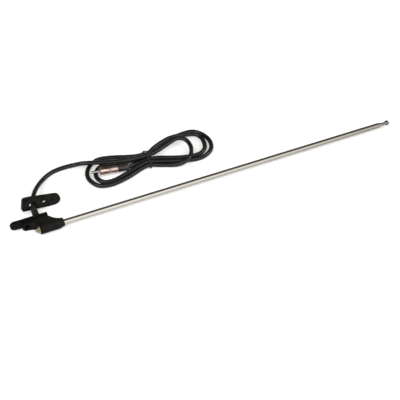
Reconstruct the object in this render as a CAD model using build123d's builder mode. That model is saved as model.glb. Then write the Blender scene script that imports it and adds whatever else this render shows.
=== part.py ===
from build123d import *

import os
from math import cos, radians, sin, sqrt, tan

# Telescopic car antenna: a mast on a moulded mount, a gasket, and a lead tied in a hank with its plug.
#
# Millimetres. The origin is the middle of the cable outlet in the mounting face. +X runs along the
# mast to its ball, +Y points out of the mounting face, +Z is up. The antenna lies on its side on a
# surface at ground_z, with the mast pushed in.

os.makedirs("parts", exist_ok=True)

# Clearances
run_clear = 0.05
seat_clear = 0.02
stop_gap = 0.3

# Flange and boss of the mount
plate_t = 3.4
plate_square_x = 11.5
plate_length = 43.7
plate_h = 12.8
plate_rise = 0.4
plate_end_r = 5.2
plate_end_rise = 1.4
plate_corner_r = 1.0
boss_pitch = 14.1
boss_r = 5.9
boss_h = 4.6
screw_hole_r = 2.0
screw_head_r = 3.3
screw_head_depth = 3.0

# Arm and sleeve that carry the mast
mast_offset = 17.0
sleeve_d = 12.0
sleeve_rear_x = -2.6
sleeve_length = 28.4
sleeve_nose_length = 6.0
sleeve_nose_drop = 1.8
arm_h = 11.0
arm_sweep_r = 22.0
arm_inset = 0.6
arm_edge_r = 0.8
arm_end_y = -14.6
arm_flank = (-8.2, -9.6)

# Mast tubes, rod and ball
tube_d = 6.4
tube_wall = 0.4
middle_d = 4.4
middle_wall = 0.4
rod_d = 2.6
tube_foot_x = 1.9
tube_mouth_x = 439.1
lip_length = 1.5
middle_proud = 4.5
ball_d = 6.4
ball_neck_d = 3.8
ball_stand = 5.96
ball_bore_depth = 5.0
tube_plug_length = 6.0

# Bushes and friction sleeves at the feet of the moving sections
bush_floor = 1.5
bush_flange = 2.0
bush_length = 22.0
friction_wall = 0.25
friction_slit = 0.8

# Brass socket that holds the mast, and the contact parts behind it
socket_wall = 1.5
socket_length = 23.6
socket_head_r = 5.2
socket_nose_r = 1.6
socket_nose_length = 4.8
core_d = 1.0
channel_d = 2.4
tag_t = 0.6
tag_ring_r = 4.4
tag_arm_w = 3.4
tag_recess = 0.8

# Cable, boot and gasket
cable_d = 5.4
boot_spigot_d = 6.8
boot_spigot_depth = 3.0
boot_root_d = 8.5
boot_tip_d = 7.0
boot_flange_r = 5.2
boot_flange_t = 1.0
gasket_t = 4.0
gasket_length = 46.2
gasket_h = 18.0
gasket_square_rise = 1.3
gasket_end_r = 7.5
gasket_corner_r = 3.0
gasket_rim = 1.6
gasket_rim_h = 0.8
gasket_x = 10.4
gasket_back_y = 22.1
gasket_tilt = 10.3
gasket_turn = 5.0
gasket_cable_inset = 12.9
gasket_hole_drop = 1.0
gasket_cable_r = 4.1
gasket_screw_r = 2.5

# Plug
pin_d = 3.2
pin_length = 11.5
pin_point_r = 1.1
pin_point_t = 0.3
shell_d = 9.4
shell_wall = 0.5
shell_length = 21.5
shell_slits = 4
shell_slit_w = 1.2
shell_slit_length = 12.0
insulator_inset = 0.6
insulator_length = 10.0
crimp_d = 6.0
crimp_length = 7.0
plug_boot_d = 8.8
plug_boot_edge = 1.5
pin_tip = (79.0, 45.4, 2.0)
plug_rear = (124.5, 40.5, -1.5)

# Hank and its tie
tie_x = 150.4
tie_w = 3.0
tie_t = 0.9
tie_slack = 0.1
hank_grow = 1.0
hank_span = 70.0
layer_h = 5.4
lead_lift = 4.6

# Places that follow from the sizes
ground_z = -sleeve_d / 2
mast_y = -mast_offset
mast_axis = Axis((0, mast_y, 0), (1, 0, 0))
mast_plane = Plane(origin=(0, mast_y, 0), x_dir=(1, 0, 0), z_dir=(0, 0, 1))
sleeve_front_x = sleeve_rear_x + sleeve_length
sleeve_r = sleeve_d / 2
plate_round_x = plate_square_x - plate_length
boss_x = -boss_pitch
boss_front_y = -plate_t - boss_h
tube_bore_r = tube_d / 2 - tube_wall
middle_bore_r = middle_d / 2 - middle_wall
middle_mouth_x = tube_mouth_x + middle_proud
socket_r = tube_d / 2 + socket_wall
socket_front_x = sleeve_rear_x + socket_length


def name_and_write(part, label):
    """Label one finished piece and write its file."""
    part.label = label
    export_step(part, f"parts/{label}.step")


def turned(points, plane=mast_plane, axis=mast_axis):
    """Revolve a closed half section, given as (along, out) pairs, about the axis of its plane."""
    with BuildPart() as piece:
        with BuildSketch(plane):
            with BuildLine():
                Polyline(*points, close=True)
            make_face()
        revolve(axis=axis)
    return piece.part


# Mount: flange, screw boss, swept arm and sleeve in one moulding
with BuildPart() as mount:
    # The bottom edge rises to the round end
    with BuildSketch(Plane.XZ):
        with Locations((plate_round_x + plate_end_r, plate_end_rise)):
            Circle(plate_end_r)
        with Locations((plate_square_x - 2 * plate_corner_r, plate_rise)):
            RectangleRounded(4 * plate_corner_r, plate_h, plate_corner_r)
        make_hull()
    extrude(amount=plate_t)
    with BuildSketch(Plane.XZ.offset(plate_t)):
        with Locations((boss_x, 0)):
            Circle(boss_r)
    extrude(amount=boss_h)
    # The arm's plan: a flank from the boss to the sleeve's rear, and a hollow sweep to its nose
    with BuildSketch(Plane.XY.offset(-arm_h / 2)):
        with BuildLine():
            root = (plate_square_x - arm_inset, -plate_t)
            sweep_end = (sleeve_front_x - arm_inset, arm_end_y)
            RadiusArc(root, sweep_end, -arm_sweep_r)
            Polyline(
                sweep_end,
                (sweep_end[0], mast_y),
                (sleeve_rear_x, mast_y),
                (sleeve_rear_x, mast_y + socket_head_r),
                arm_flank,
                (boss_x, boss_front_y),
                (boss_x, -plate_t),
                root,
            )
        make_face()
    extrude(amount=arm_h)
    with BuildSketch(mast_plane):
        with BuildLine():
            Polyline(
                (sleeve_rear_x, 0),
                (sleeve_rear_x, sleeve_r),
                (sleeve_front_x - sleeve_nose_length, sleeve_r),
                (sleeve_front_x, sleeve_r - sleeve_nose_drop),
                (sleeve_front_x, 0),
                close=True,
            )
        make_face()
    revolve(axis=mast_axis)
    # The arm's long edges are rounded
    fillet(
        mount.edges().filter_by_position(Axis.Z, arm_h / 2, arm_h / 2).filter_by(GeomType.LINE, reverse=True),
        arm_edge_r,
    )
    # Bore for the socket, and the narrower one that the mast passes
    with BuildSketch(mast_plane):
        with BuildLine():
            Polyline(
                (sleeve_rear_x, 0),
                (sleeve_rear_x, socket_r + seat_clear),
                (socket_front_x + seat_clear, socket_r + seat_clear),
                (socket_front_x + seat_clear, tube_d / 2 + seat_clear),
                (sleeve_front_x, tube_d / 2 + seat_clear),
                (sleeve_front_x, 0),
                close=True,
            )
        make_face()
    revolve(axis=mast_axis, mode=Mode.SUBTRACT)
    # Screw hole with its head's counterbore
    with BuildSketch(Plane.XZ):
        with Locations((boss_x, 0)):
            Circle(screw_hole_r)
    extrude(amount=plate_t + boss_h, mode=Mode.SUBTRACT)
    with BuildSketch(Plane.XZ.offset(plate_t + boss_h - screw_head_depth)):
        with Locations((boss_x, 0)):
            Circle(screw_head_r)
    extrude(amount=mast_offset, mode=Mode.SUBTRACT)
    # Cable outlet, its flange's recess, and the channel for the core
    with BuildSketch(Plane.XZ):
        Circle(boot_flange_r + seat_clear)
    extrude(amount=boot_flange_t + tag_recess, mode=Mode.SUBTRACT)
    with BuildSketch(Plane.XZ):
        Circle(boot_spigot_d / 2 + seat_clear)
    extrude(amount=boot_spigot_depth, mode=Mode.SUBTRACT)
    with BuildSketch(Plane.XZ):
        Circle(channel_d / 2)
    extrude(amount=mast_offset - socket_r, mode=Mode.SUBTRACT)
    # Recess for the earth tag
    with BuildSketch(Plane.XZ):
        with Locations((boss_x, 0)):
            Circle(tag_ring_r + seat_clear)
        with Locations((boss_x / 2, 0)):
            Rectangle(boss_pitch, tag_arm_w + 2 * seat_clear)
    extrude(amount=tag_recess, mode=Mode.SUBTRACT)
name_and_write(mount.part, "mount_base")

# Earth tag: a ring round the screw hole and an arm to the cable's screen
with BuildPart() as earth_tag:
    with BuildSketch(Plane.XZ.offset(tag_recess - tag_t)):
        with Locations((boss_x, 0)):
            Circle(tag_ring_r)
        with Locations((boss_x / 2 - boot_flange_r / 2, 0)):
            Rectangle(boss_pitch - boot_flange_r - 2 * seat_clear, tag_arm_w)
        with Locations((boss_x, 0)):
            Circle(screw_hole_r + seat_clear, mode=Mode.SUBTRACT)
    extrude(amount=tag_t)
name_and_write(earth_tag.part, "earth_tag")

# Mast socket: a turned brass bush whose pointed end stands out behind the sleeve
socket_floor_x = tube_foot_x - seat_clear
mast_socket = turned(
    [
        (sleeve_rear_x - socket_nose_length, 0),
        (sleeve_rear_x - socket_nose_length, socket_nose_r),
        (sleeve_rear_x, socket_head_r),
        (sleeve_rear_x, socket_r),
        (socket_front_x, socket_r),
        (socket_front_x, tube_d / 2 + seat_clear),
        (socket_floor_x, tube_d / 2 + seat_clear),
        (socket_floor_x, 0),
    ]
)
name_and_write(mast_socket, "mast_socket")

# Core wire from the cable to the socket
with BuildPart() as core_wire:
    with BuildSketch(Plane.XZ.offset(boot_spigot_depth)):
        Circle(core_d / 2)
    extrude(amount=mast_offset - socket_r - boot_spigot_depth)
name_and_write(core_wire.part, "core_wire")

# Outer mast tube, its mouth rolled in to guide the middle section
tube_r = tube_d / 2
mast_tube = turned(
    [
        (tube_foot_x, tube_bore_r),
        (tube_foot_x, tube_r),
        (tube_mouth_x - lip_length / 2, tube_r),
        (tube_mouth_x, tube_r - tube_wall),
        (tube_mouth_x, middle_d / 2 + run_clear),
        (tube_mouth_x - lip_length / 2, middle_d / 2 + run_clear),
        (tube_mouth_x - lip_length, tube_bore_r),
    ]
)
name_and_write(mast_tube, "mast_tube")

tube_plug = turned(
    [
        (tube_foot_x, 0),
        (tube_foot_x, tube_bore_r - seat_clear),
        (tube_foot_x + tube_plug_length, tube_bore_r - seat_clear),
        (tube_foot_x + tube_plug_length, 0),
    ]
)
name_and_write(tube_plug, "tube_plug")


def foot_bush(start_x, carrier_r, bore_r):
    """Spool-shaped bush closed at the foot, pressed on a section that slides in a tube's bore."""
    flange_r = bore_r - run_clear
    waist_r = flange_r - friction_wall
    end_x = start_x + bush_length
    return turned(
        [
            (start_x, 0),
            (start_x, flange_r),
            (start_x + bush_floor + bush_flange, flange_r),
            (start_x + bush_floor + bush_flange, waist_r),
            (end_x - bush_flange, waist_r),
            (end_x - bush_flange, flange_r),
            (end_x, flange_r),
            (end_x, carrier_r),
            (start_x + bush_floor, carrier_r),
            (start_x + bush_floor, 0),
        ]
    )


def friction_sleeve(start_x, bore_r):
    """Thin split sleeve round a bush's waist, bearing on the bore that the section slides in."""
    outer_r = bore_r - run_clear
    first_x = start_x + bush_floor + bush_flange + seat_clear
    last_x = start_x + bush_length - bush_flange - seat_clear
    with BuildPart() as sleeve:
        with BuildSketch(Plane(origin=(first_x, mast_y, 0), x_dir=(0, 1, 0), z_dir=(1, 0, 0))):
            Circle(outer_r)
            Circle(outer_r - friction_wall, mode=Mode.SUBTRACT)
            with Locations((0, outer_r)):
                Rectangle(friction_slit, 2 * friction_wall + friction_slit, mode=Mode.SUBTRACT)
        extrude(amount=last_x - first_x)
    return sleeve.part


# Middle section: tube, foot bush and friction sleeve
middle_bush_x = tube_foot_x + tube_plug_length + stop_gap
middle_r = middle_d / 2
name_and_write(foot_bush(middle_bush_x, middle_r, tube_bore_r), "middle_bush")
name_and_write(friction_sleeve(middle_bush_x, tube_bore_r), "middle_friction_sleeve")
middle_tube = turned(
    [
        (middle_bush_x + bush_floor, middle_bore_r),
        (middle_bush_x + bush_floor, middle_r),
        (middle_mouth_x - lip_length / 2, middle_r),
        (middle_mouth_x, middle_r - middle_wall),
        (middle_mouth_x, rod_d / 2 + run_clear),
        (middle_mouth_x - lip_length / 2, rod_d / 2 + run_clear),
        (middle_mouth_x - lip_length, middle_bore_r),
    ]
)
name_and_write(middle_tube, "middle_tube")

# Tip section: rod, foot bush, friction sleeve and ball
rod_bush_x = middle_bush_x + bush_floor + stop_gap
rod_r = rod_d / 2
ball_neck_x = middle_mouth_x + stop_gap
ball_r = ball_d / 2
ball_x = ball_neck_x + ball_stand
rod_end_x = ball_neck_x + ball_bore_depth
name_and_write(foot_bush(rod_bush_x, rod_r, middle_bore_r), "tip_bush")
name_and_write(friction_sleeve(rod_bush_x, middle_bore_r), "tip_friction_sleeve")
tip_rod = turned(
    [
        (rod_bush_x + bush_floor, 0),
        (rod_bush_x + bush_floor, rod_r),
        (rod_end_x, rod_r),
        (rod_end_x, 0),
    ]
)
name_and_write(tip_rod, "tip_rod")

neck_r = ball_neck_d / 2
neck_end_x = ball_x - sqrt(ball_r**2 - neck_r**2)
with BuildPart() as tip_ball:
    with BuildSketch(mast_plane):
        with BuildLine():
            Polyline((ball_neck_x, rod_r), (ball_neck_x, neck_r), (neck_end_x, neck_r))
            ThreePointArc((neck_end_x, neck_r), (ball_x, ball_r), (ball_x + ball_r, 0))
            Polyline((ball_x + ball_r, 0), (rod_end_x, 0), (rod_end_x, rod_r), (ball_neck_x, rod_r))
        make_face()
    revolve(axis=mast_axis)
name_and_write(tip_ball.part, "tip_ball")

# The lead's route from its boot to the hank, as it lies
lead_route = [
    (-0.4, 14.0, 3.6),
    (1.4, 23.2, 5.0),
    (5.3, 32.8, 4.7),
    (10.0, 43.5, 2.2),
    (16.2, 54.3, -1.6),
    (24.2, 62.8, -3.3),
    (34.0, 69.2, -3.3),
    (46.6, 73.4, -3.3),
    (59.6, 73.2, -3.3),
    (71.0, 70.0, -3.0),
]
boot_tip = Vector(*lead_route[0])

# Boot: a taper that leans up with the cable, over a flange and a spigot in the mount
boot_root = Vector(0, -boot_spigot_depth, 0)
boot_lean = boot_tip - boot_root
with BuildPart() as cable_boot:
    with BuildSketch(Plane(origin=boot_root, x_dir=boot_lean, z_dir=(1, 0, 0))):
        with BuildLine():
            Polyline(
                (0, 0),
                (0, boot_root_d / 2),
                (boot_lean.length, boot_tip_d / 2),
                (boot_lean.length, 0),
                close=True,
            )
        make_face()
    revolve(axis=Axis(boot_root, boot_lean))
    split(bisect_by=Plane.XZ.offset(tag_recess), keep=Keep.BOTTOM)
    with BuildSketch(Plane.XZ.offset(tag_recess)):
        Circle(boot_flange_r)
    extrude(amount=boot_flange_t)
    with BuildSketch(Plane.XZ.offset(tag_recess)):
        Circle(boot_spigot_d / 2)
    extrude(amount=boot_spigot_depth - tag_recess)
name_and_write(cable_boot.part, "cable_boot")

# Gasket: threaded on the cable, with its round end down on the surface
tilt = radians(gasket_tilt)
turn = radians(gasket_turn)
gasket_way = (cos(tilt) * cos(turn), cos(tilt) * sin(turn), -sin(tilt))
gasket_front = (sin(turn), -cos(turn), 0)
gasket_round_s = gasket_length / 2 - gasket_end_r
gasket_z = ground_z + gasket_end_r + gasket_round_s * sin(tilt)
gasket_back = Plane(origin=(gasket_x, gasket_back_y, gasket_z), x_dir=gasket_way, z_dir=gasket_front)
gasket_cable_s = gasket_cable_inset - gasket_length / 2


def gasket_outline(inset):
    """The gasket's outline: round at one end, square with rounded corners at the other."""
    with Locations((gasket_round_s, 0)):
        Circle(gasket_end_r - inset)
    with Locations((-gasket_length / 2 + inset + 2 * gasket_corner_r, gasket_square_rise)):
        RectangleRounded(4 * gasket_corner_r, gasket_h - 2 * inset, gasket_corner_r)
    make_hull()


with BuildPart() as gasket:
    with BuildSketch(gasket_back):
        gasket_outline(0)
    extrude(amount=gasket_t)
    with BuildSketch(gasket_back.offset(gasket_t - gasket_rim_h)):
        gasket_outline(gasket_rim)
    extrude(amount=gasket_rim_h, mode=Mode.SUBTRACT)
    with BuildSketch(gasket_back):
        with Locations((gasket_cable_s, -gasket_hole_drop)):
            Circle(gasket_cable_r)
        with Locations((gasket_cable_s + boss_pitch, -gasket_hole_drop)):
            Circle(gasket_screw_r)
    extrude(amount=gasket_t, mode=Mode.SUBTRACT)
name_and_write(gasket.part, "gasket_pad")


def corner_radii(route):
    """One radius for each corner: 0.45 of the shorter run, over the tangent of half the turn."""
    radii = []
    for before, corner, after in zip(route, route[1:], route[2:]):
        into = Vector(*corner) - Vector(*before)
        out = Vector(*after) - Vector(*corner)
        half_turn = radians(into.get_angle(out)) / 2
        radii.append(0.45 * min(into.length, out.length) / tan(half_turn))
    return radii


def cable_tube(route, diameter):
    """A round tube along straight runs joined by tangent arcs."""
    radii = corner_radii(route)
    print("radii", [round(r) for r in radii])
    with BuildPart() as tube:
        with BuildLine() as path:
            FilletPolyline(*route, radius=radii)
        with BuildSketch(Plane(origin=route[0], z_dir=Vector(*route[1]) - Vector(*route[0]))):
            Circle(diameter / 2)
        sweep(path=path.wires()[0])
    section = Face(Wire([Edge.make_circle(diameter / 2)])).area
    path_length = path.wires()[0].length
    print("length", round(path_length, 1), "share of a full tube", tube.part.volume / section / path_length)
    return tube.part


name_and_write(cable_tube(lead_route, cable_d), "cable_lead")

# The hank: bights to the right and left of the tie. Each has its reach from the tie, and the
# Y of its strand at four stations going out, two at its end and four coming back.
stations = (0.2, 0.45, 0.7, 0.92)
strand_y = {
    "tip_low": 34.5,
    "inner_low": 39.6,
    "tail": 44.7,
    "inner_up": 49.8,
    "outer_up": 54.9,
    "lead": 52.3,
}


def bight(reach, start, out, end, back, finish):
    """Plan of one bight, from its strand's place in the tie round to the place where it returns."""
    points = [(tie_x, strand_y[start])]
    points += [(tie_x + reach * f, y) for f, y in zip(stations, out)]
    points += [(tie_x + reach, y) for y in end]
    points += [(tie_x + reach * f, y) for f, y in zip(stations[::-1], back)]
    return points + [(tie_x, strand_y[finish])]


right_inner = bight(
    58.6, "lead", (55.4, 62.2, 65.6, 62.2), (54.2, 44.0), (34.0, 19.0, 22.4, 29.6), "tip_low"
)
left_outer = bight(
    -75.4, "tip_low", (32.2, 24.2, 20.6, 26.0), (35.0, 50.0), (66.2, 69.6, 65.6, 59.0), "outer_up"
)
right_outer = bight(
    83.6, "outer_up", (59.6, 69.2, 72.4, 69.0), (58.5, 40.0), (27.2, 20.0, 26.0, 34.4), "inner_low"
)
left_inner = bight(
    -65.8, "inner_low", (37.6, 30.6, 26.8, 32.0), (38.5, 49.0), (57.6, 57.0, 52.6, 50.2), "inner_up"
)
right_middle = bight(
    78.2, "inner_up", (55.0, 63.2, 68.4, 65.4), (54.2, 42.5), (32.4, 28.0, 33.6, 41.0), "tail"
)
lead_in = [
    lead_route[-1][:2],
    (78.6, 66.8),
    (87.6, 63.0),
    (98.4, 61.6),
    (110.0, 60.2),
    (121.4, 56.6),
    (134.4, 53.6),
    (tie_x, strand_y["lead"]),
]
tail_route = [(143.0, 44.6, -3.3), (136.6, 43.6, -3.3), (130.6, 42.0, -2.9), plug_rear]


def strand_path(plan):
    """Line of one strand in plan, its corners rounded as far as its runs allow."""
    with BuildLine() as path:
        FilletPolyline(*plan, radius=corner_radii([(x, y, 0) for x, y in plan]))
    return path.line


def loop_area(plan, grow):
    """What a bight encloses in plan, grown outwards."""
    with BuildSketch() as area:
        with BuildLine():
            add(strand_path(plan))
            Line(plan[-1], plan[0])
        make_face()
        offset(amount=grow)
    return area.sketch


def tie_loop(grow):
    """Outline of the bundle of strands in the tie, grown outwards, in the plane across the mast."""
    cable_r = cable_d / 2 + tie_slack + grow
    low_z = ground_z + tie_t + cable_r - grow
    for place in ("tip_low", "inner_low", "tail", "inner_up", "outer_up"):
        with Locations((strand_y[place], low_z)):
            Circle(cable_r)
    with Locations((strand_y["lead"], low_z + lead_lift)):
        Circle(cable_r)
    make_hull()


across = Plane(origin=(tie_x - tie_w / 2, 0, 0), x_dir=(0, 1, 0), z_dir=(1, 0, 0))
over_z = ground_z + layer_h
half_band = (cable_d + hank_grow) / 2
tie_gap = Rectangle(tie_w, hank_span, mode=Mode.PRIVATE).locate(Location((tie_x, strand_y["tail"])))
with BuildPart() as hank:
    with BuildSketch(Plane.XY.offset(ground_z)):
        add(loop_area(left_outer, half_band))
        add(loop_area(left_inner, -half_band), mode=Mode.SUBTRACT)
        add(loop_area(right_outer, half_band))
        add(loop_area(right_inner, half_band))
        add(loop_area(right_inner, -half_band) & loop_area(right_middle, -half_band), mode=Mode.SUBTRACT)
        trace(strand_path(lead_in[:3]), line_width=2 * half_band)
        add(tie_gap, mode=Mode.SUBTRACT)
    extrude(amount=layer_h)
    # Where the lead and the inner bight pass over the rest
    with BuildSketch(Plane.XY.offset(over_z)):
        trace(strand_path(lead_in[:4]), line_width=2 * half_band)
        trace(strand_path(lead_in[-3:]), line_width=2 * half_band)
        trace(strand_path(right_inner[:9]), line_width=2 * half_band)
        add(tie_gap, mode=Mode.SUBTRACT)
    extrude(amount=layer_h)
    # The bundle inside the tie
    with BuildSketch(across.offset(-tie_slack)):
        tie_loop(0)
    extrude(amount=tie_w + 2 * tie_slack)
name_and_write(hank.part, "cable_hank")

# Tie: a coated wire wound round the bundle, its ends twisted together on the far side
with BuildPart() as tie:
    with BuildSketch(across):
        tie_loop(tie_t)
    extrude(amount=tie_w)
    with BuildSketch(across):
        tie_loop(0)
    extrude(amount=tie_w, mode=Mode.SUBTRACT)
name_and_write(tie.part, "cable_tie")

name_and_write(cable_tube(tail_route, cable_d), "cable_tail")

# Plug: its axis runs from the pin's tip to the rear of its boot
plug_way = Vector(*plug_rear) - Vector(*pin_tip)
plug_frame = Plane(origin=pin_tip, x_dir=plug_way, z_dir=plug_way.cross(Vector(0, 0, 1)).cross(plug_way))
plug_axis = Axis(pin_tip, plug_way)
shell_x = pin_length
shell_r = shell_d / 2
shell_end_x = shell_x + shell_length
crimp_end_x = shell_end_x + crimp_length
plug_end_x = plug_way.length


def plug_turned(points):
    """Turned piece of the plug, its section given from the pin's tip backwards."""
    return turned(points, plug_frame, plug_axis)


pin_r = pin_d / 2
plug_pin = plug_turned(
    [
        (0, 0),
        (pin_point_t, pin_point_r),
        (pin_r, pin_r),
        (shell_x + insulator_inset + insulator_length, pin_r),
        (shell_x + insulator_inset + insulator_length, 0),
    ]
)
name_and_write(plug_pin, "plug_pin")

insulator_x = shell_x + insulator_inset
plug_insulator = plug_turned(
    [
        (insulator_x, pin_r),
        (insulator_x, shell_r - shell_wall - seat_clear),
        (insulator_x + insulator_length, shell_r - shell_wall - seat_clear),
        (insulator_x + insulator_length, pin_r),
    ]
)
name_and_write(plug_insulator, "plug_insulator")

with BuildPart() as plug_shell:
    add(
        plug_turned(
            [
                (shell_x, shell_r - shell_wall),
                (shell_x, shell_r),
                (shell_end_x - shell_wall, shell_r),
                (shell_end_x, shell_r - shell_wall),
                (shell_end_x, crimp_d / 2),
                (crimp_end_x, crimp_d / 2),
                (crimp_end_x, cable_d / 2),
                (shell_end_x - shell_wall, cable_d / 2),
                (shell_end_x - shell_wall, shell_r - shell_wall),
            ]
        )
    )
    mouth_middle = plug_frame.from_local_coords((shell_x, 0, 0))
    mouth = Plane(origin=mouth_middle, x_dir=plug_frame.y_dir, z_dir=plug_way)
    with BuildSketch(mouth):
        with PolarLocations(shell_r - shell_wall / 2, shell_slits, start_angle=45):
            Rectangle(2 * shell_wall, shell_slit_w)
    extrude(amount=shell_slit_length, mode=Mode.SUBTRACT)
name_and_write(plug_shell.part, "plug_shell")

boot_r = plug_boot_d / 2
plug_boot = plug_turned(
    [
        (shell_end_x, crimp_d / 2),
        (shell_end_x, boot_r),
        (plug_end_x - plug_boot_edge, boot_r),
        (plug_end_x, boot_r - shell_wall),
        (plug_end_x, 0),
        (crimp_end_x, 0),
        (crimp_end_x, crimp_d / 2),
    ]
)
name_and_write(plug_boot, "plug_boot")
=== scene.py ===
from math import cos, pi, sin, tau

import bpy
import bmesh
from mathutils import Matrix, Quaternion, Vector


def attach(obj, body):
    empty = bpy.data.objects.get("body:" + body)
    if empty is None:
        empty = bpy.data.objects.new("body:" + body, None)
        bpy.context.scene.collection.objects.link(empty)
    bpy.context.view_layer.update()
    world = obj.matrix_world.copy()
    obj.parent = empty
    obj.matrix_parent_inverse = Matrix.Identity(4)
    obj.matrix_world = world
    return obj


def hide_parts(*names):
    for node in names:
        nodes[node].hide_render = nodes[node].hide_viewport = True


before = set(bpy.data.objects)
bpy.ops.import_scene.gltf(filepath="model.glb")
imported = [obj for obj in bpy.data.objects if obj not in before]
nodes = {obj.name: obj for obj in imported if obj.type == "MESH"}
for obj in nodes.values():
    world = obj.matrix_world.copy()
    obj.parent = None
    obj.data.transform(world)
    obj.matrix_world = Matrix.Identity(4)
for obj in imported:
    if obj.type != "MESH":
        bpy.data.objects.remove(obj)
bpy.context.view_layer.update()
scene = bpy.context.scene
scene.view_settings.view_transform = "Standard"

# Places and sizes that the pieces made here share with the part, in millimetres
MM = 0.001
FLOOR_Z = -6.0
CABLE_D = 5.4
TIE_X = 150.4
TIE_W = 2.4
TIE_T = 0.9


# Camera, in metres and radians

CAMERA_AT = (-0.1181, -0.7208, 0.7365)
CAMERA_TARGET = (0.1821, -0.0417, -0.0060)
CAMERA_ROLL = -0.0015
LENS = 81.4
SENSOR = 36.0
CLIP_START = 0.01

camera_data = bpy.data.cameras.new("camera")
camera_data.lens = LENS
camera_data.sensor_width = SENSOR
camera_data.clip_start = CLIP_START
camera = bpy.data.objects.new("camera", camera_data)
camera.location = CAMERA_AT
aim = (Vector(CAMERA_TARGET) - Vector(CAMERA_AT)).to_track_quat("-Z", "Y")
camera.rotation_euler = (aim @ Quaternion((0, 0, 1), CAMERA_ROLL)).to_euler()
scene.collection.objects.link(camera)
scene.camera = camera


# Materials

# The range in which most of a noise texture's values lie
NOISE_LOW = 0.3
NOISE_HIGH = 0.7


class Surface:
    """A procedural material in object space: a principled shader and the textures that feed it."""

    def __init__(self, name, **fixed):
        self.material = bpy.data.materials.new(name)
        self.material.use_nodes = True
        self.tree = self.material.node_tree
        self.shader = self.tree.nodes["Principled BSDF"]
        for key, value in fixed.items():
            self.shader.inputs[key.replace("_", " ").title().replace("Ior", "IOR")].default_value = value
        self.coordinates = self.tree.nodes.new("ShaderNodeTexCoord")

    def noise(self, scale, detail=3.0, stretch=(1.0, 1.0, 1.0)):
        """Noise of about 1/scale metres, drawn out along an axis whose stretch is below 1."""
        mapping = self.tree.nodes.new("ShaderNodeMapping")
        mapping.inputs["Scale"].default_value = stretch
        texture = self.tree.nodes.new("ShaderNodeTexNoise")
        texture.inputs["Scale"].default_value = scale
        texture.inputs["Detail"].default_value = detail
        self.tree.links.new(self.coordinates.outputs["Object"], mapping.inputs["Vector"])
        self.tree.links.new(mapping.outputs["Vector"], texture.inputs["Vector"])
        return texture.outputs["Fac"]

    def along_x(self, first, last):
        """0 to 1 from one place to another along the object's X, in metres."""
        axes = self.tree.nodes.new("ShaderNodeSeparateXYZ")
        span = self.tree.nodes.new("ShaderNodeMapRange")
        span.inputs["From Min"].default_value = first
        span.inputs["From Max"].default_value = last
        self.tree.links.new(self.coordinates.outputs["Object"], axes.inputs["Vector"])
        self.tree.links.new(axes.outputs["X"], span.inputs["Value"])
        return span.outputs["Result"]

    def ramp(self, source, stops):
        """Colours over a source's range, given as (place, colour) pairs."""
        node = self.tree.nodes.new("ShaderNodeValToRGB")
        elements = node.color_ramp.elements
        while len(elements) < len(stops):
            elements.new(0.5)
        for element, (place, colour) in zip(elements, stops):
            element.position = place
            element.color = (*colour, 1.0)
        self.tree.links.new(source, node.inputs["Fac"])
        return node.outputs["Color"]

    def colour(self, source, stops):
        """Base colour from a source's range, with stops as in ramp."""
        self.tree.links.new(self.ramp(source, stops), self.shader.inputs["Base Color"])
        return self

    def roughness(self, source, low, high):
        """Roughness that follows a noise texture from one value to another."""
        node = self.tree.nodes.new("ShaderNodeMapRange")
        node.inputs["From Min"].default_value = NOISE_LOW
        node.inputs["From Max"].default_value = NOISE_HIGH
        node.inputs["To Min"].default_value = low
        node.inputs["To Max"].default_value = high
        self.tree.links.new(source, node.inputs["Value"])
        self.tree.links.new(node.outputs["Result"], self.shader.inputs["Roughness"])
        return self

    def bump(self, *layers):
        """Height from one or more (source, distance in metres) layers, one over the other."""
        below = None
        for source, distance in layers:
            node = self.tree.nodes.new("ShaderNodeBump")
            node.inputs["Strength"].default_value = 1.0
            node.inputs["Distance"].default_value = distance
            self.tree.links.new(source, node.inputs["Height"])
            if below is not None:
                self.tree.links.new(below, node.inputs["Normal"])
            below = node.outputs["Normal"]
        self.tree.links.new(below, self.shader.inputs["Normal"])
        return self


def grey(value):
    return (value, value, value)


def moulded_plastic():
    """Black glass-filled nylon with a spark-eroded grain and a few rubbed patches."""
    s = Surface("moulding", specular_ior_level=0.06)
    patches = s.noise(60, 4)
    grain = s.noise(2600, 2)
    s.colour(patches, [(0.38, (0.0022, 0.0022, 0.002)), (0.68, (0.0085, 0.0083, 0.0075))])
    s.roughness(s.noise(240, 4), 0.42, 0.6)
    return s.bump((grain, 0.00004), (patches, 0.0003))


def soft_rubber(name, dark, light, low, high, specular=0.14):
    """Black rubber or flexible plastic, faintly mottled and dusty, between two roughnesses."""
    s = Surface(name, specular_ior_level=specular)
    mottle = s.noise(110, 5)
    s.colour(mottle, [(0.35, dark), (0.68, light)])
    s.roughness(s.noise(380, 3), low, high)
    return s.bump((s.noise(3200, 2), 0.00003), (mottle, 0.00015))


def jacket():
    """Black PVC cable jacket: satin, with faint waviness and rubbed stretches."""
    s = Surface("cable_jacket", specular_ior_level=0.24)
    wear = s.noise(45, 4)
    s.colour(wear, [(0.4, (0.004, 0.004, 0.0042)), (0.72, (0.0085, 0.0083, 0.008))])
    s.roughness(s.noise(180, 4), 0.22, 0.36)
    return s.bump((s.noise(900, 3), 0.00002), (s.noise(140, 2), 0.00012))


def drawn_tube():
    """Bright plated tube, its fine lines running along the mast, with painted shade that darkens it
    towards the ball.
    """
    s = Surface("mast_steel", metallic=1.0)
    lines = s.noise(1600, 3, (0.012, 1, 1))
    # Painted shade: the base colour darkens along X towards the ball, standing in for the dimmer light
    # on the mast's far end.
    along = s.along_x(0.1, 0.46)
    s.colour(along, [(0.0, (0.4, 0.385, 0.355)), (0.5, (0.33, 0.315, 0.285)), (1.0, (0.2, 0.19, 0.165))])
    s.roughness(lines, 0.1, 0.17)
    return s.bump((lines, 0.000006))


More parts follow.
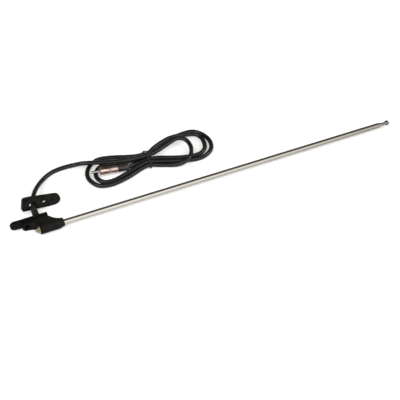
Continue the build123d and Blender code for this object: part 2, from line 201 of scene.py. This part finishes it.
def plated(name, dark, light, low, high):
    """Plated or polished turned metal with faint tool marks round the mast's axis."""
    s = Surface(name, metallic=1.0)
    rings = s.noise(700, 2, (1, 0.06, 0.06))
    s.colour(s.noise(160, 4), [(0.35, dark), (0.7, light)])
    s.roughness(s.noise(300, 4), low, high)
    return s.bump((rings, 0.000012))


def cream_plastic():
    """Off-white insulating plastic."""
    s = Surface("insulator", specular_ior_level=0.5, subsurface_weight=0.1)
    s.shader.inputs["Subsurface Scale"].default_value = 0.002
    s.colour(s.noise(300, 3), [(0.35, (0.62, 0.6, 0.55)), (0.7, (0.72, 0.7, 0.66))])
    s.roughness(s.noise(500, 3), 0.35, 0.5)
    return s.bump((s.noise(2000, 2), 0.00002))


moulding = moulded_plastic()
soft_black = soft_rubber("soft_black", (0.006, 0.006, 0.006), (0.012, 0.0118, 0.0115), 0.37, 0.55)
pad_rubber = soft_rubber("gasket", (0.003, 0.003, 0.0028), (0.013, 0.0125, 0.0105), 0.48, 0.66, 0.07)
plug_rubber = soft_rubber("plug_rubber", (0.007, 0.0068, 0.0068), (0.03, 0.029, 0.029), 0.24, 0.42, 0.36)
cable_jacket = jacket()
tie_plastic = soft_rubber("tie_plastic", (0.007, 0.007, 0.007), (0.013, 0.013, 0.013), 0.3, 0.48)
mast_steel = drawn_tube()
ball_metal = plated("ball_metal", (0.11, 0.11, 0.115), (0.16, 0.16, 0.165), 0.12, 0.22)
brass = plated("brass", (0.12, 0.08, 0.045), (0.34, 0.335, 0.25), 0.25, 0.4)
bronze = plated("bronze", (0.45, 0.3, 0.16), (0.6, 0.42, 0.22), 0.25, 0.4)
copper = plated("copper", (0.55, 0.27, 0.16), (0.75, 0.42, 0.28), 0.2, 0.35)
plug_metal = plated("plug_metal", (0.26, 0.15, 0.12), (0.42, 0.34, 0.315), 0.16, 0.28)
pin_metal = plated("pin_metal", (0.3, 0.3, 0.28), (0.4, 0.4, 0.385), 0.2, 0.3)
insulator = cream_plastic()

FINISH = {
    "mount_base": moulding,
    "mast_socket": brass,
    "core_wire": copper,
    "earth_tag": brass,
    "cable_boot": soft_black,
    "gasket_pad": pad_rubber,
    "mast_tube": mast_steel,
    "tube_plug": brass,
    "middle_tube": mast_steel,
    "middle_bush": brass,
    "middle_friction_sleeve": bronze,
    "tip_rod": mast_steel,
    "tip_bush": brass,
    "tip_friction_sleeve": bronze,
    "tip_ball": ball_metal,
    "plug_shell": plug_metal,
    "plug_pin": pin_metal,
    "plug_insulator": insulator,
    "plug_boot": plug_rubber,
}
for node, surface in FINISH.items():
    slots = nodes[node].data.materials
    slots.clear()
    slots.append(surface.material)


def lifted(points):
    """Points of (x, y, height of the centre over the floor) as (x, y, z), all in millimetres."""
    return [(x, y, FLOOR_Z + h) for x, y, h in points]


# Cable

# Heights of the cable's centre over the floor: lying on it, and where the tie gathers the strands
ON_FLOOR = CABLE_D / 2
IN_TIE = 3.7

CORD_ORDER = 3
CORD_STEPS = 10
CORD_BEVEL_STEPS = 6

# From the mount's boot through the gasket and down to the floor
lead = [
    (-0.4, 14.0, 3.6),
    (1.4, 23.2, 5.0),
    (7.5, 37.2, 4.4),
    (15.0, 50.3, 0.4),
    (21.2, 58.8, -2.4),
    (28.4, 65.2, -3.3),
    (35.6, 69.3, -3.3),
    (43.3, 71.7, -3.3),
    (55.8, 72.8, -3.3),
    (68.2, 70.6, -2.2),
]
# Up over the hank's left end and along the top of its strands
lead_in = lifted([
    (75, 65.5, 7.6),
    (82.5, 62.2, 8.3),
    (90, 59.5, 8.2),
    (97.5, 56.4, 8.2),
    (106.5, 53, 8.2),
    (116, 50.5, 8.2),
    (125.5, 48.8, 8.2),
    (136, 47, 8.3),
    (144, 46.5, 8.5),
    (150.5, 46, 8.9),
])
# Round the right end by the shortest way, over the other strands
right_inner = lifted([
    (156, 46.5, 8.5),
    (161.5, 48, 8.2),
    (170, 51, 7.9),
    (178, 54.5, 7.7),
    (184.5, 57.2, 7.8),
    (190, 59.3, 8.0),
    (196.5, 61, 8.3),
    (203, 58.5, 7.9),
    (207, 52.3, 6.8),
    (207.5, 45, 5.9),
    (206, 38.5, 5.9),
    (203.5, 32.5, 7.0),
    (200.5, 26.7, 8.2),
    (196.3, 21.7, 8.7),
    (190.6, 18.9, 7.6),
    (183.8, 20, 4.4),
    (176.3, 23.2, ON_FLOOR),
    (168, 27, ON_FLOOR),
    (158.5, 31, ON_FLOOR),
    (150.4, 34.5, IN_TIE),
])
# Round the left end on the outside
left_outer = lifted([
    (142, 34, 3.0),
    (131.8, 30.3, ON_FLOOR),
    (119.6, 25.1, 3.4),
    (107.2, 21.8, 3.6),
    (94.6, 20.7, 3.2),
    (82.0, 24.6, ON_FLOOR),
    (76.6, 33.3, ON_FLOOR),
    (74.2, 43.8, ON_FLOOR),
    (76.9, 54.2, ON_FLOOR),
    (82.9, 62.4, ON_FLOOR),
    (89.8, 67.4, ON_FLOOR),
    (97.5, 69.7, ON_FLOOR),
    (108, 67.5, ON_FLOOR),
    (119, 63.9, ON_FLOOR),
    (132, 58.5, ON_FLOOR),
    (143, 55.5, 2.8),
    (150.4, 54.9, IN_TIE),
])
# Round the right end on the outside
right_outer = lifted([
    (156.5, 55.5, 3.2),
    (164.5, 58.5, ON_FLOOR),
    (172.5, 60.5, ON_FLOOR),
    (181.5, 63.5, ON_FLOOR),
    (189.5, 67, ON_FLOOR),
    (197.5, 70, ON_FLOOR),
    (204.5, 71.5, ON_FLOOR),
    (213, 72, ON_FLOOR),
    (221, 71, ON_FLOOR),
    (227, 66.5, ON_FLOOR),
    (232, 58, ON_FLOOR),
    (234.5, 48, ON_FLOOR),
    (233, 38, ON_FLOOR),
    (228.5, 29.5, ON_FLOOR),
    (220.5, 24, 2.8),
    (213, 21.5, 3.0),
    (204, 21.5, 3.1),
    (193, 24.5, 3.1),
    (182.5, 28, 3.1),
    (171.5, 32.5, 3.1),
    (160, 36.5, 3.4),
    (150.4, 38.5, 5.6),
])
# Round the left end inside the outer strand
left_inner = lifted([
    (142, 38, 5.0),
    (133, 36.5, 3.2),
    (123.5, 33.5, ON_FLOOR),
    (114.5, 30.5, ON_FLOOR),
    (105, 27.6, ON_FLOOR),
    (95.8, 26.7, ON_FLOOR),
    (88.9, 29.2, ON_FLOOR),
    (85.1, 35, ON_FLOOR),
    (84, 42.2, ON_FLOOR),
    (86.2, 49.2, ON_FLOOR),
    (91, 54.3, ON_FLOOR),
    (97.5, 57, ON_FLOOR),
    (105, 56.2, ON_FLOOR),
    (114, 53, ON_FLOOR),
    (125.5, 51.5, ON_FLOOR),
    (136, 50, ON_FLOOR),
    (143.5, 49.7, 3.2),
    (150.4, 49.8, 4.7),
])
# On top of the outer strand as far as the hank's shoulder, then down beside it
right_middle = lifted([
    (156, 51.5, 6.7),
    (162, 55, 8),
    (170.5, 59.5, 8),
    (178.5, 62.5, 8),
    (186, 65, 7.9),
    (193, 66, 7.6),
    (200, 66.5, 6.6),
    (208, 66.5, 5),
    (216, 65.5, 4.4),
    (222, 63, 4.4),
    (226, 57.5, 3.6),
    (227, 50.5, 3.0),
    (225.5, 42, 2.8),
    (222.5, 35, ON_FLOOR),
    (216.5, 30, ON_FLOOR),
    (209, 28.5, ON_FLOOR),
    (199, 29.5, ON_FLOOR),
    (188.5, 32.5, ON_FLOOR),
    (177, 37, ON_FLOOR),
    (165, 42.5, 2.9),
    (150.4, 44.7, IN_TIE),
])
# From the tie to the plug's boot
tail = [(143.0, 44.6, -3.1), (136.6, 43.6, -3.3), (130.6, 42.0, -2.9), (124.5, 40.5, -1.5)]
cord_route = lead + lead_in + right_inner + left_outer + right_outer + left_inner + right_middle + tail


def round_cord(name, points, diameter):
    """A round cord along one NURBS spline whose control points are given in millimetres."""
    data = bpy.data.curves.new(name, "CURVE")
    data.dimensions = "3D"
    data.resolution_u = CORD_STEPS
    data.bevel_depth = diameter / 2 * MM
    data.bevel_resolution = CORD_BEVEL_STEPS
    data.use_fill_caps = True
    spline = data.splines.new("NURBS")
    spline.points.add(len(points) - 1)
    for point, place in zip(spline.points, points):
        point.co = (*(Vector(place) * MM), 1.0)
    spline.order_u = CORD_ORDER
    spline.use_endpoint_u = True
    obj = bpy.data.objects.new(name, data)
    scene.collection.objects.link(obj)
    return obj


cord = round_cord("antenna_lead", cord_route, CABLE_D)
cord.data.materials.append(cable_jacket.material)
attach(cord, "mount")
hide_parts("cable_lead", "cable_hank", "cable_tail")


# Tie

# Each strand's place across the tie and the height of its centre over the floor
STRANDS_IN_TIE = [(34.5, IN_TIE), (38.5, 5.2), (44.7, IN_TIE), (49.8, 4.6), (54.9, IN_TIE), (46.0, 8.7)]
STRAND_CLEAR = 0.1
STRAND_CORNERS = 24

# The band's section as shares of its width and thickness, and how it is laid
BAND_PROFILE = [
    (-0.5, 0.1), (-0.42, 0), (0.42, 0), (0.5, 0.1), (0.5, 0.75), (0.4, 1), (-0.4, 1), (-0.5, 0.75),
]
BAND_STEP = 1.0
BAND_SWAY = 0.35

# The twisted wires: corners along and round each, where they splay, and how far a cut end narrows
WIRE_STEPS = 40
WIRE_SIDES = 10
SPLAY_FROM = 0.75
CUT_NARROWING = 0.7


def hull(points):
    """The convex outline of points in a plane, in order round it."""
    def half(ordered):
        chain = []
        for p in ordered:
            while len(chain) > 1 and (
                (chain[-1][0] - chain[-2][0]) * (p[1] - chain[-2][1])
                - (chain[-1][1] - chain[-2][1]) * (p[0] - chain[-2][0])
            ) <= 0:
                chain.pop()
            chain.append(p)
        return chain[:-1]

    ordered = sorted(set(points))
    return half(ordered) + half(ordered[::-1])


def spaced(loop, step):
    """Points along a closed line, about one step apart."""
    out = []
    for a, b in zip(loop, loop[1:] + loop[:1]):
        a, b = Vector(a), Vector(b)
        count = max(1, round((b - a).length / step))
        out += [a.lerp(b, i / count) for i in range(count)]
    return out


def join_rings(bm, pairs):
    """Faces between the two rings of corners in each pair."""
    for low, high in pairs:
        sides = len(low)
        for k in range(sides):
            beside = (k + 1) % sides
            bm.faces.new((low[k], low[beside], high[beside], high[k]))


def rounded_tube(bm, path, radii, sides):
    """A tube round a line of points, with one radius for each."""
    rings = []
    side = None
    for i, place in enumerate(path):
        before = path[max(i - 1, 0)]
        after = path[min(i + 1, len(path) - 1)]
        along = (after - before).normalized()
        if side is None:
            side = along.orthogonal().normalized()
        side = (side - along * side.dot(along)).normalized()
        up = along.cross(side)
        rings.append([
            bm.verts.new(place + (side * cos(tau * k / sides) + up * sin(tau * k / sides)) * radii[i])
            for k in range(sides)
        ])
    join_rings(bm, zip(rings, rings[1:]))
    bm.faces.new(rings[0][::-1])
    bm.faces.new(rings[-1])


def mesh_object(name, bm, surface):
    """A smooth object of a finished bmesh, with its material."""
    bmesh.ops.recalc_face_normals(bm, faces=bm.faces)
    data = bpy.data.meshes.new(name)
    bm.to_mesh(data)
    bm.free()
    data.shade_smooth()
    data.materials.append(surface.material)
    obj = bpy.data.objects.new(name, data)
    scene.collection.objects.link(obj)
    return obj


def tie_band():
    """Flat coated band round the strands: a closed loop with rounded edges that sways a little."""
    inner_r = CABLE_D / 2 + STRAND_CLEAR
    circles = []
    for y, h in STRANDS_IN_TIE:
        for k in range(STRAND_CORNERS):
            angle = tau * k / STRAND_CORNERS
            across = y + inner_r * cos(angle)
            up = FLOOR_Z + h + inner_r * sin(angle)
            circles.append((round(across, 4), round(up, 4)))
    loop = spaced(hull(circles), BAND_STEP)
    centre = sum(loop, Vector((0, 0))) / len(loop)
    bm = bmesh.new()
    rings = []
    for i, place in enumerate(loop):
        before = loop[i - 1]
        after = loop[(i + 1) % len(loop)]
        along = (after - before).normalized()
        out = Vector((along.y, -along.x))
        if out.dot(place - centre) < 0:
            out = -out
        shift = BAND_SWAY * sin(tau * i / len(loop))
        ring = []
        for wide, thick in BAND_PROFILE:
            p = place + out * thick * TIE_T
            ring.append(bm.verts.new(Vector((TIE_X + shift + wide * TIE_W, p.x, p.y)) * MM))
        rings.append(ring)
    join_rings(bm, zip(rings, rings[1:] + rings[:1]))
    return mesh_object("tie_band", bm, tie_plastic)


def twisted_ends(name, root, way, length, turns, thick, spread):
    """Two coated wires twisted round each other, their cut ends splayed a little."""
    root = Vector(root)
    way = Vector(way).normalized()
    side = way.orthogonal().normalized()
    up = way.cross(side)
    bm = bmesh.new()
    for start in (0, pi):
        path = []
        radii = []
        for i in range(WIRE_STEPS + 1):
            t = i / WIRE_STEPS
            angle = start + tau * turns * t
            off = thick + spread * max(0.0, t - SPLAY_FROM) / (1 - SPLAY_FROM)
            path.append((root + way * length * t + (side * cos(angle) + up * sin(angle)) * off) * MM)
            radii.append(thick * MM * (1 if i < WIRE_STEPS else CUT_NARROWING))
        rounded_tube(bm, path, radii, WIRE_SIDES)
    return mesh_object(name, bm, tie_plastic)


band = tie_band()
far_ends = twisted_ends(
    "tie_far_ends",
    root=(152.6, 56.4, -1.2),
    way=(-0.8, 0.6, 0.1),
    length=2.8,
    turns=0.7,
    thick=0.8,
    spread=0.1,
)
near_end = twisted_ends(
    "tie_near_end",
    root=(150.2, 31.8, -3.4),
    way=(-0.35, -0.9, -0.2),
    length=2.4,
    turns=0.6,
    thick=0.6,
    spread=0.1,
)
for piece in (band, far_ends, near_end):
    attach(piece, "mount")
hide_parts("cable_tie")


# Floor and light

HALF_FLOOR = 4.0
FLOOR_GLOW = 0.35
WHITE = (1.0, 0.99, 0.97)
LIGHT_SIZE = (1.0, 1.4)

# The studio's surroundings by direction along Y, from 0 in front to 1 behind
SKY_BRIGHT_TO = 0.29
SKY_DARK_FROM = 0.42
SKY_DARK = (0.085, 0.083, 0.08)
SKY_STRENGTH = 2.1

corners = [(x * HALF_FLOOR, y * HALF_FLOOR) for x, y in ((-1, -1), (1, -1), (1, 1), (-1, 1))]
floor_mesh = bpy.data.meshes.new("floor")
floor_mesh.from_pydata([(x, y, FLOOR_Z * MM) for x, y in corners], [], [(0, 1, 2, 3)])
floor = bpy.data.objects.new("floor", floor_mesh)
scene.collection.objects.link(floor)
paper = Surface("floor_paper", specular_ior_level=0.0, roughness=0.9, emission_strength=FLOOR_GLOW)
paper.colour(paper.noise(3, 2), [(0.3, grey(0.62)), (0.7, grey(0.64))])
paper.shader.inputs["Emission Color"].default_value = (1.0, 1.0, 0.99, 1.0)
floor_mesh.materials.append(paper.material)


def area_light(name, place, target, energy):
    """A large soft light that looks from one place to another, in metres and watts."""
    data = bpy.data.lights.new(name, "AREA")
    data.shape = "RECTANGLE"
    data.size, data.size_y = LIGHT_SIZE
    data.energy = energy
    data.color = WHITE
    obj = bpy.data.objects.new(name, data)
    obj.location = place
    obj.rotation_euler = (Vector(target) - Vector(place)).to_track_quat("-Z", "Y").to_euler()
    scene.collection.objects.link(obj)


area_light("left", place=(-1.1, -0.2, 1.3), target=(0.1, 0.0, 0.0), energy=21)
area_light("right", place=(2.2, -0.3, 1.5), target=(0.3, 0.0, 0.0), energy=28)

world = bpy.data.worlds.new("studio")
scene.world = world
world.use_nodes = True
sky = world.node_tree
direction = sky.nodes.new("ShaderNodeTexCoord")
parts = sky.nodes.new("ShaderNodeSeparateXYZ")
ramp = sky.nodes.new("ShaderNodeValToRGB")
sky.links.new(direction.outputs["Generated"], parts.inputs["Vector"])
spread = sky.nodes.new("ShaderNodeMapRange")
spread.inputs["From Min"].default_value = -1.0
spread.inputs["From Max"].default_value = 1.0
sky.links.new(parts.outputs["Y"], spread.inputs["Value"])
sky.links.new(spread.outputs["Result"], ramp.inputs["Fac"])
ramp.color_ramp.elements[0].position = SKY_BRIGHT_TO
ramp.color_ramp.elements[0].color = (*WHITE, 1.0)
ramp.color_ramp.elements[1].position = SKY_DARK_FROM
ramp.color_ramp.elements[1].color = (*SKY_DARK, 1.0)
sky.links.new(ramp.outputs["Color"], sky.nodes["Background"].inputs["Color"])
sky.nodes["Background"].inputs["Strength"].default_value = SKY_STRENGTH
